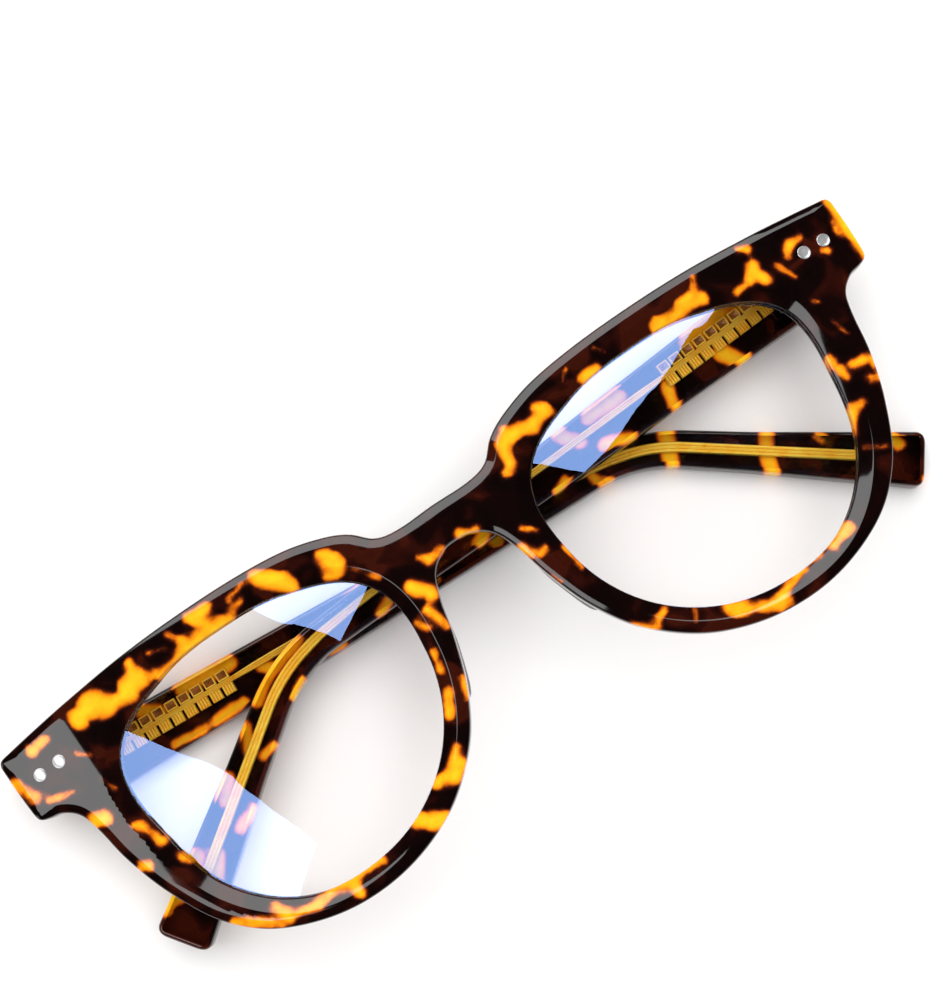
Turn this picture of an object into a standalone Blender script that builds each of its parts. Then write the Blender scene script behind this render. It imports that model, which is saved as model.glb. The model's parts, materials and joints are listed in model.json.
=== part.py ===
"""Folding spectacles with an acetate front and wire-cored acetate temples.

The glasses lie on their back with the temples folded under the front. +X runs
along the front to the wearer's left, +Y to the brow and +Z out of the front.
The two folded temples lie level, the left one stacked on the right one, so the
two hinge axes differ in height and the front leans by a small angle.

Each piece is drawn in millimetres around its own empty: the front's pieces
around the point midway between the hinge axes, and each temple's pieces around
its own hinge axis.
"""
import math

import bmesh
import bpy
from mathutils import Vector, geometry

MM = 0.001

# Front
ORIGIN_Y = 0.5                # middle of the front's height, above the lens centres
LENS_CENTRE_X = 35.5          # half of lens width plus bridge width
LENS_RADII = (22.85, 25.7, 21.9, 20.0, 21.5, 24.9, 23.0, 21.45, 20.4, 20.25, 21.4, 22.05)
FRONT_OUTLINE = (             # one half, from the bridge's top middle to its lower middle
    (0.0, 17.0), (5.8, 16.9), (9.4, 17.7), (12.2, 20.3), (15.7, 22.1), (21.7, 23.8),
    (30.0, 24.7), (40.0, 25.0), (50.0, 24.8), (60.0, 24.0), (67.0, 23.3), (71.2, 22.8),
    (72.9, 22.5), (73.4, 21.9), (73.5, 20.8), (73.4, 17.0), (73.1, 13.2), (72.6, 12.0), (71.3, 11.5),
    (69.3, 11.0), (67.2, 9.2), (66.1, 6.0), (64.9, 0.1), (62.4, -7.0), (58.1, -14.7),
    (51.6, -20.3), (42.0, -23.6), (32.0, -23.6), (22.5, -20.4), (15.0, -14.4),
    (10.6, -7.6), (8.0, -0.4), (6.6, 5.2), (4.9, 8.9), (2.3, 10.7), (0.0, 11.0))
CORNERS = ((72.9, 22.2), (72.5, 12.2))    # tight corners of an endpiece, with narrower bevels
FRONT_THICKNESS = 4.4
WRAP_RADIUS = 450.0           # curve of the front, seen from the brow
ENDPIECE_X = 61.5             # the endpieces run on straight from a crease here
ENDPIECE_SLOPE = 0.2
OUTER_BEVEL = ((-1.1, 0.0), (-0.2, 0.55), (0.0, 1.1))
BACK_BEVEL = 0.45
OPENING_BEVEL = ((2.0, 0.0), (0.3, 1.0), (0.0, 1.4))
GROOVE_DEPTH_Z = 2.4          # the lens groove's bottom, behind the front face
GROOVE_HALF_WIDTH = 0.8
GROOVE_DEPTH = 0.55
LENS_EDGE_GAP = 0.15
LENS_THICKNESS = 2.0
LENS_DOME = 2.1
LENS_RIDGE = 0.35
PAD_POINTS = ((8.4, 3.4), (10.2, 4.2), (11.4, 1.0), (12.3, -3.5), (13.3, -7.4),
              (12.2, -8.8), (10.9, -6.6), (9.6, -3.2), (8.6, 0.2))
PAD_HEIGHT = 4.6
PAD_LEAN = 1.4                # how far the pad's crest moves to the nose
PAD_SPINE = ((9.9, 2.0), (12.2, -6.6))
PAD_BEND = math.radians(30)
PAD_CROWN = ((0.0, 1.0), (0.45, 0.96), (0.8, 0.83), (0.95, 0.62), (1.0, 0.38))

# Hinge
HINGE_X = 66.7
HINGE_Y = 15.9
AXIS_BEHIND_FRONT = 2.2
KNUCKLE_RADIUS = 1.35
KNUCKLE_HEIGHT = 1.1
KNUCKLE_GAP = 0.1
SCREW_RADIUS = 0.6
SCREW_HOLE_RADIUS = 0.68
SCREW_HEAD_RADIUS = 1.05
SCREW_HEAD_HEIGHT = 0.7
PLATE_INSET = 0.6
PLATE_SPAN_X = (-4.3, 4.2)    # from the axis
PLATE_HALF_HEIGHT = 2.95
LEAF_SPAN = (1.2, -7.4)       # from the axis towards the tip
LEAF_INSET = 0.6
LEAF_PROUD = 0.12
RIVET_RADIUS = 0.97
FRONT_RIVET_X = (65.4, 68.9)
FRONT_RIVET_Y = 17.4
TEMPLE_RIVET_X = (-2.1, -5.6)
TEMPLE_RIVET_Y = -1.9
OPEN_ANGLE = 93.0             # between the front's chord and an open temple
FIT_GAP = 0.12

# Temple
TEMPLE_THICKNESS = 4.0
AXIS_TO_TEMPLE = 1.9          # hinge axis to the temple's inner face
TEMPLE_STACK_GAP = 0.3
BUTT_DEPTH = 1.0              # the part of the butt that is cut square to the endpiece
BUTT_Y = -0.5                 # the temple's centre line at the butt, from the hinge
BEND_AT = 99.3                # along the temple from the butt
BEND_ANGLE = 33.5
BEND_RADIUS = 24.0
TEMPLE_LENGTH = 142.2
TEMPLE_SLOPE = {"left": 2.35, "right": 3.6}   # each temple as it was adjusted, in degrees
TEMPLE_HEIGHTS = ((0.0, 10.2), (94.0, 5.1), (116.0, 6.0), (TEMPLE_LENGTH, 8.4))
TEMPLE_BEVEL = ((-0.7, 0.0), (-0.2, 0.2), (0.0, 0.7))
TIP_RADIUS = 1.5

# Metal core inside each temple
CORE_START = 1.3
CHANNEL_RUNOUT = 2.0          # the core's channel runs this far past its start, out of the butt
BLOCKS_START = 9.6
BLOCK_COUNT = 9
BLOCK_PITCH = 2.2
BLOCK_LENGTH = 1.7
BLOCK_HEIGHT = 1.5
BAR_HEIGHT = 0.8
WIRE_HEIGHT = 1.1
TIP_WIRE_HEIGHT = 1.6
CORE_END = 135.0
CORE_THICKNESS = 1.0
CORE_RISE = 1.0               # above the temple's centre line, fading out at the tip
CORE_DEPTH = 1.5              # from the temple's inner face
CORE_FADE = 90.0              # from here the core runs closer to the temple's centre line
CORE_TIP_RISE = 0.4
WIRE_SWELL = (80.0, 95.0)     # between these places the wire widens to its tip height
WIRE_LEAD = 3.0               # from the last block to the bare wire
BUTT_SQUARE = 2.0             # before this place the core runs straight on to the butt

# The stacked temples put one hinge axis above the other, and the front leans to meet both.
STACK = TEMPLE_THICKNESS + TEMPLE_STACK_GAP
FRONT_LEAN = math.asin(STACK / (2 * HINGE_X))
RIGHT_AXIS_Z = TEMPLE_THICKNESS + AXIS_TO_TEMPLE
AXIS_Z = {"left": RIGHT_AXIS_Z + STACK, "right": RIGHT_AXIS_Z}
SIDES = {"left": 1, "right": -1}

ACETATE = ("tortoise_acetate", (0.16, 0.045, 0.012, 1.0), 0.12, 0.0)
PAD_ACETATE = ("pad_acetate", (0.10, 0.03, 0.01, 1.0), 0.2, 0.0)
LENS = ("lens_clear", (0.82, 0.86, 0.95, 1.0), 0.03, 0.0)
STEEL = ("steel", (0.72, 0.73, 0.75, 1.0), 0.28, 1.0)
GOLD = ("gold_core", (0.83, 0.58, 0.18, 1.0), 0.25, 1.0)


def clear_scene():
    for item in list(bpy.data.objects):
        bpy.data.objects.remove(item, do_unlink=True)


def material(name, colour, roughness, metallic):
    made = bpy.data.materials.get(name)
    if made is None:
        made = bpy.data.materials.new(name)
        made.use_nodes = True
        shader = made.node_tree.nodes["Principled BSDF"]
        shader.inputs["Base Color"].default_value = colour
        shader.inputs["Roughness"].default_value = roughness
        shader.inputs["Metallic"].default_value = metallic
        made.diffuse_color = colour
    return made


def empty(name, place, lean=0.0):
    made = bpy.data.objects.new(name, None)
    made.location = [v * MM for v in place]
    made.rotation_euler = (0.0, lean, 0.0)
    bpy.context.scene.collection.objects.link(made)
    return made


def solid(name, mesh, parent, look):
    """Turn a bmesh drawn in millimetres into a named object under its parent."""
    bmesh.ops.scale(mesh, vec=(MM, MM, MM), verts=mesh.verts)
    bmesh.ops.recalc_face_normals(mesh, faces=mesh.faces)
    data = bpy.data.meshes.new(name)
    mesh.to_mesh(data)
    mesh.free()
    made = bpy.data.objects.new(name, data)
    made.parent = parent
    bpy.context.scene.collection.objects.link(made)
    if look is not None:
        data.materials.append(material(*look))
        data.shade_smooth()
        data.set_sharp_from_angle(angle=math.radians(30))
    return made


def boolean(target, operand, operation):
    """Cut a hidden operand from the target, or join it on."""
    operand.hide_render = True
    operand.display_type = "WIRE"
    step = target.modifiers.new(operand.name, "BOOLEAN")
    step.operation = operation
    step.object = operand
    step.solver = "EXACT"


# Outlines -------------------------------------------------------------------

def between(a, b, c, d, t):
    """A point of the Catmull-Rom curve from b to c."""
    return tuple(
        0.5 * (2 * q + (r - p) * t + (2 * p - 5 * q + 4 * r - s) * t * t
               + (3 * q - p - 3 * r + s) * t ** 3)
        for p, q, r, s in zip(a, b, c, d))


def turn(a, b, c):
    first = math.atan2(b[1] - a[1], b[0] - a[0])
    second = math.atan2(c[1] - b[1], c[0] - b[0])
    return abs(math.remainder(second - first, 2 * math.pi))


def smooth_loop(points, step=5.0, bend=math.radians(17)):
    """A closed smooth curve, with more points where it turns."""
    made = []
    count = len(points)
    for i in range(count):
        a, b, c, d = (points[(i + k) % count] for k in (-1, 0, 1, 2))
        angle = max(turn(a, b, c), turn(b, c, d))
        pieces = max(1, round(math.dist(b, c) / step), round(angle / bend))
        made += [between(a, b, c, d, k / pieces) for k in range(pieces)]
    return made


def offset(loop, distance):
    """Move an anticlockwise loop outwards by a distance, keeping its corners."""
    made = []
    for i, here in enumerate(loop):
        before = loop[i - 1]
        after = loop[(i + 1) % len(loop)]
        normals = []
        for a, b in ((before, here), (here, after)):
            length = math.dist(a, b)
            normals.append(((b[1] - a[1]) / length, (a[0] - b[0]) / length))
        (ax, ay), (bx, by) = normals
        scale = distance / (1 + ax * bx + ay * by)
        made.append((here[0] + (ax + bx) * scale, here[1] + (ay + by) * scale))
    return made


def bevelled(loop, shift):
    """The loop moved by a step of its bevel, and by less at the endpieces' tight corners."""
    made = []
    for (x, y), (far_x, far_y) in zip(loop, offset(loop, shift)):
        near = min(math.dist((abs(x), y), corner) for corner in CORNERS)
        share = min(1.0, 0.4 + 0.24 * near)
        made.append((x + share * (far_x - x), y + share * (far_y - y)))
    return made


def polar_loop(count=48):
    """The lens opening around its own centre, anticlockwise."""
    made = []
    for k in range(count):
        at = k * len(LENS_RADII) / count
        i = int(at)
        ring = [(LENS_RADII[(i + j) % len(LENS_RADII)],) for j in (-1, 0, 1, 2)]
        radius = between(*ring, at - i)[0]
        angle = 2 * math.pi * k / count
        made.append((radius * math.cos(angle), radius * math.sin(angle)))
    return made


def opening(side):
    """The lens opening in the front, anticlockwise."""
    loop = [(side * (LENS_CENTRE_X + x), y) for x, y in polar_loop()]
    return loop if side > 0 else loop[::-1]


def front_loop():
    other = [(-x, y) for x, y in FRONT_OUTLINE[-2:0:-1]]
    return smooth_loop(list(FRONT_OUTLINE) + other)[::-1]


# Mesh helpers -----------------------------------------------------------------

def ring_of(mesh, points):
    return [mesh.verts.new(point) for point in points]


def bridge(mesh, first, second):
    count = len(first)
    for i in range(count):
        j = (i + 1) % count
        mesh.faces.new((first[i], first[j], second[j], second[i]))


def lofted(rings):
    """A closed solid through rings of points, capped at both ends."""
    mesh = bmesh.new()
    made = [ring_of(mesh, ring) for ring in rings]
    for first, second in zip(made, made[1:]):
        bridge(mesh, first, second)
    mesh.faces.new(made[0])
    mesh.faces.new(made[-1])
    return mesh


def prism_y(outline, low, high):
    """An outline in X and Z, extruded along Y."""
    return lofted([[(x, y, z) for x, z in outline] for y in (low, high)])


def prism_z(outline, low, high):
    """An outline in X and Y, extruded along Z."""
    return lofted([[(x, y, z) for x, y in outline] for z in (low, high)])


def circle(radius, count=20, centre=(0.0, 0.0)):
    angles = [2 * math.pi * (k + 0.5) / count for k in range(count)]
    return [(centre[0] + radius * math.cos(a), centre[1] + radius * math.sin(a)) for a in angles]


def merged(meshes):
    """Several separate bodies in one mesh, for a cutter."""
    made = bmesh.new()
    for mesh in meshes:
        data = bpy.data.meshes.new("cutter_body")
        bmesh.ops.recalc_face_normals(mesh, faces=mesh.faces)
        mesh.to_mesh(data)
        mesh.free()
        made.from_mesh(data)
        bpy.data.meshes.remove(data)
    return made


# Front --------------------------------------------------------------------------

def wrap(x):
    """How far the front's surface lies behind its middle."""
    straight = max(0.0, abs(x) - ENDPIECE_X)
    curved = abs(x) - straight
    return curved ** 2 / (2 * WRAP_RADIUS) + straight * ENDPIECE_SLOPE


FRONT_FACE_Z = AXIS_BEHIND_FRONT + FRONT_THICKNESS + wrap(HINGE_X)


def on_front(loop, depth):
    """The loop on the front's surface, moved back by a depth."""
    return [(x, y, FRONT_FACE_Z - wrap(x) - depth) for x, y in loop]


def inside(loop, x, y):
    """Whether a point lies in a closed loop, by counting the edges to its right."""
    crossed = False
    for (ax, ay), (bx, by) in zip(loop, loop[1:] + loop[:1]):
        if (ay > y) != (by > y) and x < ax + (y - ay) * (bx - ax) / (by - ay):
            crossed = not crossed
    return crossed


def fill_face(mesh, rings):
    """Fill the surface inside the first ring and outside the others."""
    loops = [[(vert.co.x, vert.co.y) for vert in ring] for ring in rings]
    verts = [vert for ring in rings for vert in ring]
    edges = []
    start = 0
    for ring in rings:
        count = len(ring)
        edges += [(start + i, start + (i + 1) % count) for i in range(count)]
        start += count
    flat = [vert.co.xy for vert in verts]
    for triangle in geometry.delaunay_2d_cdt(flat, edges, [], 0, 1e-6)[2]:
        corners = [verts[i] for i in triangle]
        x, y, _ = sum((vert.co for vert in corners), Vector()) / 3
        if [inside(loop, x, y) for loop in loops] == [True, False, False]:
            mesh.faces.new(corners)


def make_front(parent):
    mesh = bmesh.new()
    outer = list(OUTER_BEVEL)
    outer += [(0.0, FRONT_THICKNESS - BACK_BEVEL), (-BACK_BEVEL, FRONT_THICKNESS)]
    inner = list(OPENING_BEVEL)
    inner += [(0.0, GROOVE_DEPTH_Z - GROOVE_HALF_WIDTH), (GROOVE_DEPTH, GROOVE_DEPTH_Z),
              (0.0, GROOVE_DEPTH_Z + GROOVE_HALF_WIDTH),
              (0.0, FRONT_THICKNESS - BACK_BEVEL), (BACK_BEVEL, FRONT_THICKNESS)]
    walls = [(front_loop(), outer), (opening(1), inner), (opening(-1), inner)]
    faces = {"front": [], "back": []}
    for loop, profile in walls:
        rings = [ring_of(mesh, on_front(bevelled(loop, shift), depth)) for shift, depth in profile]
        for first, second in zip(rings, rings[1:]):
            bridge(mesh, first, second)
        faces["front"].append(rings[0])
        faces["back"].append(rings[-1])
    fill_face(mesh, faces["front"])
    fill_face(mesh, faces["back"])
    front = solid("front", mesh, parent, ACETATE)
    recess = merged([plate_body(side, FIT_GAP) for side in (1, -1)])
    boolean(front, solid("plate_recess_cutter", recess, parent, None), "DIFFERENCE")
    holes = merged([
        prism_z(circle(RIVET_RADIUS + FIT_GAP, centre=(side * x, FRONT_RIVET_Y)), -1.0, FRONT_FACE_Z)
        for side in (1, -1) for x in FRONT_RIVET_X])
    boolean(front, solid("front_rivet_cutter", holes, parent, None), "DIFFERENCE")


def make_lens(name, side, parent):
    edge = offset(polar_loop(), -LENS_EDGE_GAP)
    ridge = offset(edge, LENS_EDGE_GAP + LENS_RIDGE)
    middle = GROOVE_DEPTH_Z

    def ring(loop, scale, depth):
        placed = [(side * (LENS_CENTRE_X + scale * x), scale * y) for x, y in loop]
        dome = LENS_DOME * (1 - scale ** 2)
        return [(x, y, FRONT_FACE_Z - wrap(x) - depth + dome) for x, y in placed]

    half = LENS_THICKNESS / 2
    shoulder = GROOVE_HALF_WIDTH - 0.2
    rings = [ring(edge, scale, middle - half) for scale in (0.25, 0.5, 0.75, 1.0)]
    rings += [ring(edge, 1.0, middle - shoulder), ring(ridge, 1.0, middle),
              ring(edge, 1.0, middle + shoulder)]
    rings += [ring(edge, scale, middle + half) for scale in (1.0, 0.75, 0.5, 0.25)]
    solid(name, lofted(rings), parent, LENS)


def make_pad(name, side, parent):
    (top_x, top_y), (low_x, low_y) = PAD_SPINE
    rings = []
    for height, width in PAD_CROWN:
        ring = []
        for x, y in smooth_loop(PAD_POINTS, step=3.0, bend=PAD_BEND):
            along = min(1.0, max(0.0, (y - top_y) / (low_y - top_y)))
            mid_x = top_x + along * (low_x - top_x)
            mid_y = top_y + along * (low_y - top_y)
            lean = PAD_LEAN * height ** 2
            ring.append((side * (mid_x + (x - mid_x) * width - lean), mid_y + (y - mid_y) * width))
        rings.append(on_front(ring, FRONT_THICKNESS + FIT_GAP + PAD_HEIGHT * height))
    solid(name, lofted(rings), parent, PAD_ACETATE)


# Hinges ---------------------------------------------------------------------------

def knuckle_spans(first):
    """Heights along the axis of every second knuckle, from the first or the second."""
    pitch = KNUCKLE_HEIGHT + KNUCKLE_GAP
    low = -(5 * KNUCKLE_HEIGHT + 4 * KNUCKLE_GAP) / 2
    return [(low + i * pitch, low + i * pitch + KNUCKLE_HEIGHT) for i in range(first, 5, 2)]


def plate_body(side, grow=0.0):
    """The front plate, let into the back of the endpiece along its slant."""
    near, far = PLATE_SPAN_X[0] - grow, PLATE_SPAN_X[1] + grow
    low, high = -grow, PLATE_INSET + grow
    corners = []
    for x, z in ((near, low), (far, low), (far, high), (near, high)):
        corners.append((side * (HINGE_X + x), AXIS_BEHIND_FRONT - ENDPIECE_SLOPE * x + z))
    half = PLATE_HALF_HEIGHT + grow
    return prism_y(corners, HINGE_Y - half, HINGE_Y + half)


def knuckle_outline(reach):
    """A round knuckle with a web that reaches along +Z."""
    arc = [math.radians(a) for a in range(180, 361, 20)]
    web = [(-KNUCKLE_RADIUS, reach), (KNUCKLE_RADIUS, reach)]
    return [(KNUCKLE_RADIUS * math.cos(a), KNUCKLE_RADIUS * math.sin(a)) for a in arc] + web[::-1]


def add_knuckles(target, outline, spans, centre, parent):
    """Join knuckles to a hinge half, then drill them for the screw."""
    for i, (low, high) in enumerate(spans):
        body = prism_y([(centre[0] + x, z) for x, z in outline], centre[1] + low, centre[1] + high)
        boolean(target, solid(f"{target.name}_knuckle_{i}", body, parent, None), "UNION")
    hole = prism_y(circle(SCREW_HOLE_RADIUS, 16, (centre[0], 0.0)), centre[1] - 5, centre[1] + 5)
    boolean(target, solid(f"{target.name}_drill", hole, parent, None), "DIFFERENCE")


def make_front_plate(name, side, parent):
    plate = solid(name, plate_body(side), parent, STEEL)
    outline = knuckle_outline(AXIS_BEHIND_FRONT + 0.1)
    add_knuckles(plate, outline, knuckle_spans(0), (side * HINGE_X, HINGE_Y), parent)


def make_screw(name, side, parent):
    """The screw enters from the brow side, and its head stands on the top knuckle."""
    half = (5 * KNUCKLE_HEIGHT + 4 * KNUCKLE_GAP) / 2
    top = half + 0.05
    rings = []
    for y, radius in ((-half - 0.2, SCREW_RADIUS), (top, SCREW_RADIUS), (top, SCREW_HEAD_RADIUS),
                      (top + SCREW_HEAD_HEIGHT * 0.6, SCREW_HEAD_RADIUS),
                      (top + SCREW_HEAD_HEIGHT, SCREW_HEAD_RADIUS * 0.7)):
        rings.append([(side * HINGE_X + x, HINGE_Y + y, z) for x, z in circle(radius, 16)])
    solid(name, lofted(rings), parent, STEEL)


def make_front_rivet(name, side, x, parent):
    """A rivet from the front plate out through the endpiece's face."""
    slope = side * ENDPIECE_SLOPE
    place = side * x
    top = FRONT_FACE_Z - wrap(x)
    foot = top - FRONT_THICKNESS + PLATE_INSET + FIT_GAP
    outline = circle(RIVET_RADIUS, centre=(place, FRONT_RIVET_Y))
    inner = circle(RIVET_RADIUS - 0.15, centre=(place, FRONT_RIVET_Y))
    rings = []
    for loop, level in ((outline, foot), (outline, top + 0.02), (inner, top + 0.12)):
        rings.append([(px, py, level - slope * (px - place)) for px, py in loop])
    solid(name, lofted(rings), parent, STEEL)


# Temples ----------------------------------------------------------------------------

def centre_line(along, rise=0.0):
    """A point of the temple's centre line and its direction, before the temple is sloped."""
    bend = math.radians(BEND_ANGLE)
    tangent = BEND_RADIUS * math.tan(bend / 2)
    start = BEND_AT - tangent
    turned = min(max((along - start) / BEND_RADIUS, 0.0), bend)
    x = min(along, start) + BEND_RADIUS * math.sin(turned)
    y = -BEND_RADIUS * (1 - math.cos(turned))
    rest = max(0.0, along - start - BEND_RADIUS * bend)
    x += rest * math.cos(bend)
    y -= rest * math.sin(bend)
    return (x + rise * math.sin(turned), y + rise * math.cos(turned)), turned


def stations(start, end, step=6.0, bend_step=2.6):
    """Places along the temple, closer together round the bend."""
    bend = math.radians(BEND_ANGLE)
    tangent = BEND_RADIUS * math.tan(bend / 2)
    marks = [start, BEND_AT - tangent, BEND_AT - tangent + BEND_RADIUS * bend, end]
    made = []
    for low, high, pitch in zip(marks, marks[1:], (step, bend_step, step)):
        if high > low:
            count = max(1, round((high - low) / pitch))
            made += [low + (high - low) * k / count for k in range(count)]
    return made + [end]


def height_at(along):
    for (low, first), (high, second) in zip(TEMPLE_HEIGHTS, TEMPLE_HEIGHTS[1:]):
        if along <= high:
            return first + (second - first) * (along - low) / (high - low)
    return TEMPLE_HEIGHTS[-1][1]


def temple_outline():
    """The temple's side view from the butt, anticlockwise: lower edge, tip, upper edge."""
    places = stations(0.0, TEMPLE_LENGTH - TIP_RADIUS)
    lower = [centre_line(at, -height_at(at) / 2)[0] for at in places]
    upper = [centre_line(at, height_at(at) / 2)[0] for at in places]
    tip = []
    for sign in (-1, 1):
        rise = sign * (height_at(TEMPLE_LENGTH) / 2 - TIP_RADIUS)
        (x, y), turned = centre_line(TEMPLE_LENGTH - TIP_RADIUS, rise)
        for k in range(1, 4):
            angle = math.radians(sign * 90 * (1 - k / 4) if sign < 0 else 90 * k / 4) - turned
            tip.append((x + TIP_RADIUS * math.cos(angle), y + TIP_RADIUS * math.sin(angle)))
    return lower + tip + upper[::-1]


def temple_point(side, slope, point, depth):
    """Place a side-view point and a depth below the inner face around the hinge axis."""
    x, y = point
    lean = math.radians(slope)
    along = x * math.cos(lean) + y * math.sin(lean) if x > BUTT_DEPTH else x
    across = y * math.cos(lean) - x * math.sin(lean)
    return (side * (butt_reach(depth, along) - along), BUTT_Y + across, -AXIS_TO_TEMPLE - depth)


def butt_reach(depth, along):
    """The butt's distance beyond the axis. It is cut to meet the endpiece when open."""
    angle = math.radians(OPEN_ANGLE)
    reach = AXIS_TO_TEMPLE + depth
    meets = AXIS_BEHIND_FRONT - FIT_GAP + reach * (math.cos(angle) - ENDPIECE_SLOPE * math.sin(angle))
    slanted = meets / (math.sin(angle) + ENDPIECE_SLOPE * math.cos(angle))
    return AXIS_TO_TEMPLE if along > BUTT_DEPTH else slanted


def core_outline(grow=0.0):
    """The core's side view: a bar with a row of blocks on each side, then the wire."""
    end = BLOCKS_START + BLOCK_COUNT * BLOCK_PITCH
    half_bar = BAR_HEIGHT / 2 + grow
    if grow:
        edge = [(CORE_START - CHANNEL_RUNOUT, half_bar)]
        edge += [(BLOCKS_START - grow, half_bar), (BLOCKS_START - grow, half_bar + BLOCK_HEIGHT),
                 (end + grow, half_bar + BLOCK_HEIGHT), (end + grow, half_bar)]
    else:
        edge = [(CORE_START, half_bar)]
        for k in range(BLOCK_COUNT):
            low = BLOCKS_START + k * BLOCK_PITCH
            high = low + BLOCK_LENGTH
            edge += [(low, half_bar), (low, half_bar + BLOCK_HEIGHT),
                     (high, half_bar + BLOCK_HEIGHT), (high, half_bar)]
    for at in stations(end + WIRE_LEAD, CORE_END + grow):
        share = min(max((at - WIRE_SWELL[0]) / (WIRE_SWELL[1] - WIRE_SWELL[0]), 0.0), 1.0)
        edge.append((at, (WIRE_HEIGHT + (TIP_WIRE_HEIGHT - WIRE_HEIGHT) * share) / 2 + grow))
    return edge


def core_body(side, slope, grow=0.0):
    def rise(at):
        return CORE_RISE if at < CORE_FADE else CORE_TIP_RISE

    edge = core_outline(grow)
    lower = [centre_line(at, rise(at) - half)[0] for at, half in edge]
    upper = [centre_line(at, rise(at) + half)[0] for at, half in edge]
    outline = lower + upper[::-1]
    depths = (CORE_DEPTH - grow, CORE_DEPTH + CORE_THICKNESS + grow)
    return lofted([[core_point(side, slope, point, depth) for point in outline] for depth in depths])


def core_point(side, slope, point, depth):
    """Place a point of the core. Before the square butt it runs straight on."""
    x, y, z = temple_point(side, slope, (max(point[0], BUTT_SQUARE), point[1]), depth)
    return (x + side * max(0.0, BUTT_SQUARE - point[0]), y, z)


def leaf_body(side, grow=0.0):
    """The temple leaf, let into the temple's inner face."""
    high = -AXIS_TO_TEMPLE + LEAF_PROUD + grow
    low = -AXIS_TO_TEMPLE - LEAF_INSET - grow
    near = side * (LEAF_SPAN[0] + grow)
    far = side * (LEAF_SPAN[1] - grow)
    half = PLATE_HALF_HEIGHT + grow
    return prism_y([(near, low), (near, high), (far, high), (far, low)], -half, half)


def make_temple(name, side, slope, parent):
    outline = temple_outline()
    profile = list(TEMPLE_BEVEL)
    profile += [(shift, TEMPLE_THICKNESS - depth) for shift, depth in TEMPLE_BEVEL[::-1]]
    rings = []
    for shift, depth in profile:
        loop = offset(outline, shift)
        rings.append([temple_point(side, slope, point, depth) for point in loop])
    temple = solid(name, lofted(rings), parent, ACETATE)
    boolean(temple, solid(f"{name}_leaf_cutter", leaf_body(side, FIT_GAP), parent, None), "DIFFERENCE")
    channel = core_body(side, slope, FIT_GAP)
    boolean(temple, solid(f"{name}_core_cutter", channel, parent, None), "DIFFERENCE")
    holes = merged([
        prism_z(circle(RIVET_RADIUS + FIT_GAP, 16, (side * x, TEMPLE_RIVET_Y)), -8.0, 0.0)
        for x in TEMPLE_RIVET_X])
    boolean(temple, solid(f"{name}_rivet_cutter", holes, parent, None), "DIFFERENCE")


def make_leaf(name, side, parent):
    leaf = solid(name, leaf_body(side), parent, STEEL)
    outline = [(x, -z) for x, z in knuckle_outline(AXIS_TO_TEMPLE + 0.1)]
    add_knuckles(leaf, outline, knuckle_spans(1), (0.0, 0.0), parent)


def make_temple_rivet(name, side, x, parent):
    top = -AXIS_TO_TEMPLE - LEAF_INSET - FIT_GAP
    foot = -AXIS_TO_TEMPLE - TEMPLE_THICKNESS + 0.05
    body = prism_z(circle(RIVET_RADIUS, 16, (side * x, TEMPLE_RIVET_Y)), foot, top)
    solid(name, body, parent, STEEL)


# Assembly -----------------------------------------------------------------------------

def build():
    clear_scene()
    middle = (AXIS_Z["left"] + AXIS_Z["right"]) / 2
    front_frame = empty("front_frame", (0.0, -ORIGIN_Y, middle), -FRONT_LEAN)
    make_front(front_frame)
    for hand, side in SIDES.items():
        make_lens(f"lens_{hand}", side, front_frame)
        make_pad(f"nose_pad_{hand}", side, front_frame)
        make_front_plate(f"hinge_front_plate_{hand}", side, front_frame)
        make_screw(f"hinge_screw_{hand}", side, front_frame)
        for where, x in zip(("inner", "outer"), FRONT_RIVET_X):
            make_front_rivet(f"front_rivet_{hand}_{where}", side, x, front_frame)
        axis_x = side * HINGE_X * math.cos(FRONT_LEAN)
        hinge = empty(f"{hand}_hinge", (axis_x, HINGE_Y - ORIGIN_Y, AXIS_Z[hand]))
        make_temple(f"temple_{hand}", side, TEMPLE_SLOPE[hand], hinge)
        solid(f"temple_core_{hand}", core_body(side, TEMPLE_SLOPE[hand]), hinge, GOLD)
        make_leaf(f"hinge_temple_leaf_{hand}", side, hinge)
        for where, x in zip(("near", "far"), TEMPLE_RIVET_X):
            make_temple_rivet(f"temple_rivet_{hand}_{where}", side, x, hinge)


build()
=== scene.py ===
import json
import math

import bmesh
import bpy
from mathutils import Matrix, Vector, geometry


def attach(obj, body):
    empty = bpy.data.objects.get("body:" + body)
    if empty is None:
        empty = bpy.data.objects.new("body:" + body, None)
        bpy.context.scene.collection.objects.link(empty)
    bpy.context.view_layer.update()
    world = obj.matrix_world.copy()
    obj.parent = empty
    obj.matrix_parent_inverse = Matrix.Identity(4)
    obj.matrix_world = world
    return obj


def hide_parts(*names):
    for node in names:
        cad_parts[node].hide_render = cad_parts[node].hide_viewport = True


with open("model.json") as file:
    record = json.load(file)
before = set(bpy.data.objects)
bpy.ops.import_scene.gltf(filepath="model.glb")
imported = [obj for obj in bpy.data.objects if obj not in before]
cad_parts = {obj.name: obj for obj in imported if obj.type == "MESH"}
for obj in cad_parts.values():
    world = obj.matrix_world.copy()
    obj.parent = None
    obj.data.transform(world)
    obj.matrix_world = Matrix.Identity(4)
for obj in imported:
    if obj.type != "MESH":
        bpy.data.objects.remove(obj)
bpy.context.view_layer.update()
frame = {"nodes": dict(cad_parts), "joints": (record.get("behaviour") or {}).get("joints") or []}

MM = 0.001
SIDES = {"left": 1, "right": -1}

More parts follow.
